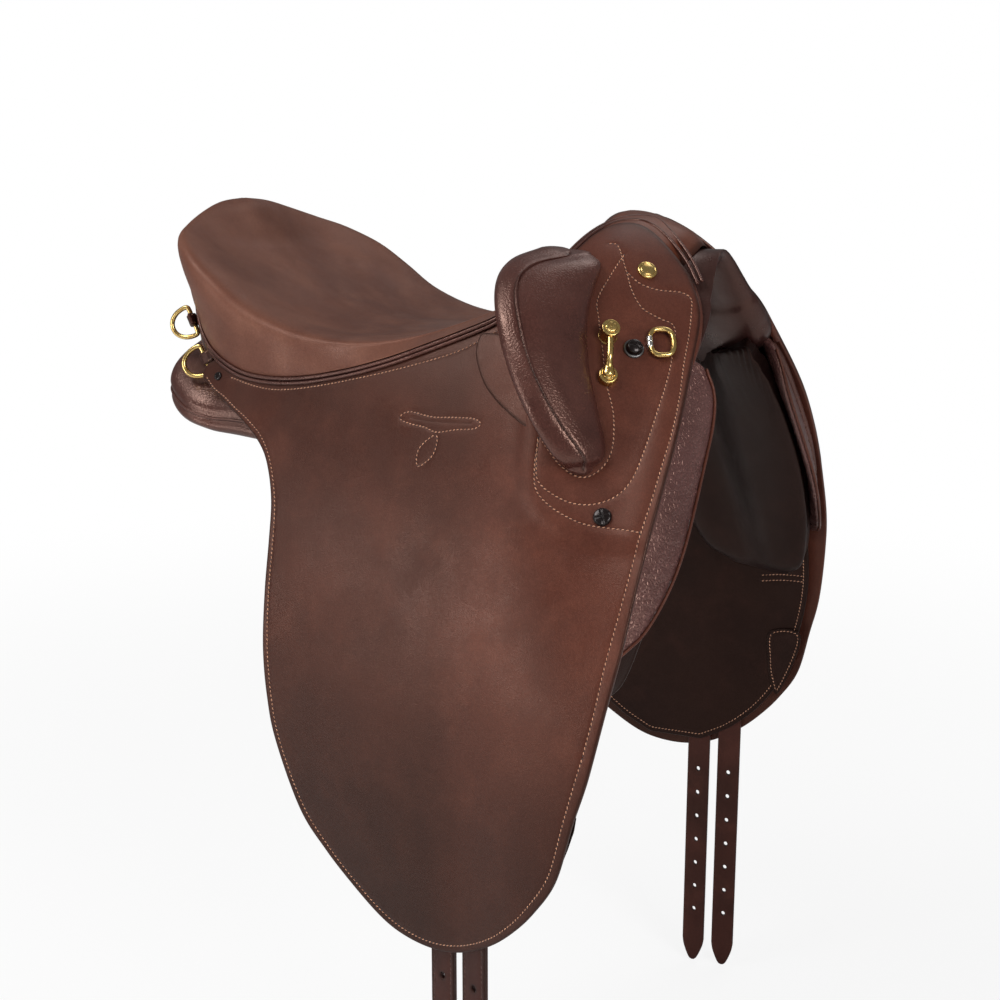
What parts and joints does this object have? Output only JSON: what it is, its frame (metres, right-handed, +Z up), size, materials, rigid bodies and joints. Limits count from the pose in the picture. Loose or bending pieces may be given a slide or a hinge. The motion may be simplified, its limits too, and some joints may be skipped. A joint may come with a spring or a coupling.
{
  "type": "australian stock saddle",
  "caption": "Stock riding saddle with a deep padded seat, knee pads, long side flaps, stuffed panels, brass fittings, swinging dees and hanging girth straps.",
  "frame": {"origin": "between the panels, on the line where the saddle rests over the horse's spine or a saddle rack", "axes": "+X towards the horse's head, +Y to the horse's left, +Z up"},
  "size_m": [0.4985, 0.4974, 0.769],
  "materials": {
    "flap_leather": "smooth waxed leather with stitched edges",
    "seat_leather": "soft smooth leather with a low sheen",
    "pad_leather": "dark grained leather over padding",
    "strap_leather": "dark firm strap leather",
    "foam": "dense seat foam",
    "tree_shell": "moulded tree",
    "steel": "satin steel",
    "brass": "polished brass",
    "black_metal": "blackened screws"
  },
  "bodies": {
    "saddle": {"tree": "tree_shell", "gullet_plate": "steel", "stirrup_bar_right": "steel", "stirrup_bar_left": "steel", "seat_foam": "foam", "seat_cover": "seat_leather", "cantle_back": "seat_leather", "head_cover": "seat_leather", "flap_right": "flap_leather", "flap_left": "flap_leather", "facing_right": "flap_leather", "facing_left": "flap_leather", "bar_cover_right": "flap_leather", "bar_cover_left": "flap_leather", "dee_chape_low_right": "flap_leather", "dee_chape_low_left": "flap_leather", "dee_chape_high_right": "flap_leather", "dee_chape_high_left": "flap_leather", "front_arch_roll": "pad_leather", "seat_welt": "pad_leather", "knee_pad_right": "pad_leather", "knee_pad_left": "pad_leather", "front_roll_right": "pad_leather", "front_roll_left": "pad_leather", "front_pad_right": "pad_leather", "front_pad_left": "pad_leather", "panel_right": "pad_leather", "panel_left": "pad_leather", "head_welt_right": "pad_leather", "head_welt_left": "pad_leather", "sweat_flap_right": "strap_leather", "sweat_flap_left": "strap_leather", "button_right": "brass", "button_left": "brass", "staple_right": "brass", "staple_left": "brass", "staple_screw_top_right": "brass", "staple_screw_top_left": "brass", "staple_screw_low_right": "brass", "staple_screw_low_left": "brass", "low_screw_right": "black_metal", "low_screw_left": "black_metal", "tail_screw_right": "black_metal", "tail_screw_left": "black_metal", "ring_post_right": "black_metal", "ring_post_left": "black_metal"},
    "rear_dee_low_right": {"rear_dee_low_right": "brass"},
    "rear_dee_high_right": {"rear_dee_high_right": "brass"},
    "front_ring_right": {"front_ring_right": "brass"},
    "stirrup_catch_right": {"stirrup_catch_right": "steel"},
    "lower_flap_right": {"flap_skirt_right": "flap_leather"},
    "rear_dee_low_left": {"rear_dee_low_left": "brass"},
    "rear_dee_high_left": {"rear_dee_high_left": "brass"},
    "front_ring_left": {"front_ring_left": "brass"},
    "stirrup_catch_left": {"stirrup_catch_left": "steel"},
    "lower_flap_left": {"flap_skirt_left": "flap_leather"},
    "girth_strap_rear_right": {"girth_strap_rear_right": "strap_leather"},
    "girth_strap_front_right": {"girth_strap_front_right": "strap_leather"},
    "girth_strap_rear_left": {"girth_strap_rear_left": "strap_leather"},
    "girth_strap_front_left": {"girth_strap_front_left": "strap_leather"}
  },
  "joints": [
    {"name": "dee_low_right_swing", "type": "hinge", "parent": "saddle", "child": "rear_dee_low_right", "pos_m": [-0.164, -0.121, 0.0335], "axis": [-0.4511, 0.0201, 0.8922], "range_deg": [0, 70]},
    {"name": "dee_high_right_swing", "type": "hinge", "parent": "saddle", "child": "rear_dee_high_right", "pos_m": [-0.1885, -0.107, 0.0635], "axis": [-0.3982, -0.0498, 0.9159], "range_deg": [0, 70]},
    {"name": "front_ring_right_lift", "type": "hinge", "parent": "saddle", "child": "front_ring_right", "pos_m": [0.2334, -0.1007, 0.0675], "axis": [0.3502, -0.5439, -0.7626], "range_deg": [0, 80]},
    {"name": "stirrup_catch_right_drop", "type": "hinge", "parent": "saddle", "child": "stirrup_catch_right", "pos_m": [0.052, -0.1204, 0.0415], "axis": [0, -1, 0], "range_deg": [0, 80]},
    {"name": "flap_right_lift", "type": "hinge", "parent": "saddle", "child": "lower_flap_right", "pos_m": [0.18, -0.2004, -0.062], "axis": [-0.9992, 0.04, 0], "range_deg": [0, 60]},
    {"name": "dee_low_left_swing", "type": "hinge", "parent": "saddle", "child": "rear_dee_low_left", "pos_m": [-0.164, 0.121, 0.0335], "axis": [0.4511, 0.0201, -0.8922], "range_deg": [0, 70]},
    {"name": "dee_high_left_swing", "type": "hinge", "parent": "saddle", "child": "rear_dee_high_left", "pos_m": [-0.1885, 0.107, 0.0635], "axis": [0.3982, -0.0498, -0.9159], "range_deg": [0, 70]},
    {"name": "front_ring_left_lift", "type": "hinge", "parent": "saddle", "child": "front_ring_left", "pos_m": [0.2334, 0.1007, 0.0675], "axis": [-0.3502, -0.5439, 0.7626], "range_deg": [0, 80]},
    {"name": "stirrup_catch_left_drop", "type": "hinge", "parent": "saddle", "child": "stirrup_catch_left", "pos_m": [0.052, 0.1204, 0.0415], "axis": [0, -1, 0], "range_deg": [0, 80]},
    {"name": "flap_left_lift", "type": "hinge", "parent": "saddle", "child": "lower_flap_left", "pos_m": [0.18, 0.2004, -0.062], "axis": [0.9992, 0.04, 0], "range_deg": [0, 60]},
    {"name": "girth_strap_rear_right_swing", "type": "hinge", "parent": "saddle", "child": "girth_strap_rear_right", "pos_m": [0.1348, -0.1879, -0.0624], "axis": [0.1289, 0.9917, 0], "range_deg": [0, 4]},
    {"name": "girth_strap_front_right_swing", "type": "hinge", "parent": "saddle", "child": "girth_strap_front_right", "pos_m": [0.1635, -0.1908, -0.0624], "axis": [-0.1848, -0.9828, 0], "range_deg": [0, 4]},
    {"name": "girth_strap_rear_left_swing", "type": "hinge", "parent": "saddle", "child": "girth_strap_rear_left", "pos_m": [0.1478, 0.1893, -0.0624], "axis": [-0.1289, 0.9917, 0], "range_deg": [0, 4]},
    {"name": "girth_strap_front_left_swing", "type": "hinge", "parent": "saddle", "child": "girth_strap_front_left", "pos_m": [0.176, 0.1914, -0.0624], "axis": [0.2051, -0.9787, 0], "range_deg": [0, 4]}
  ]
}
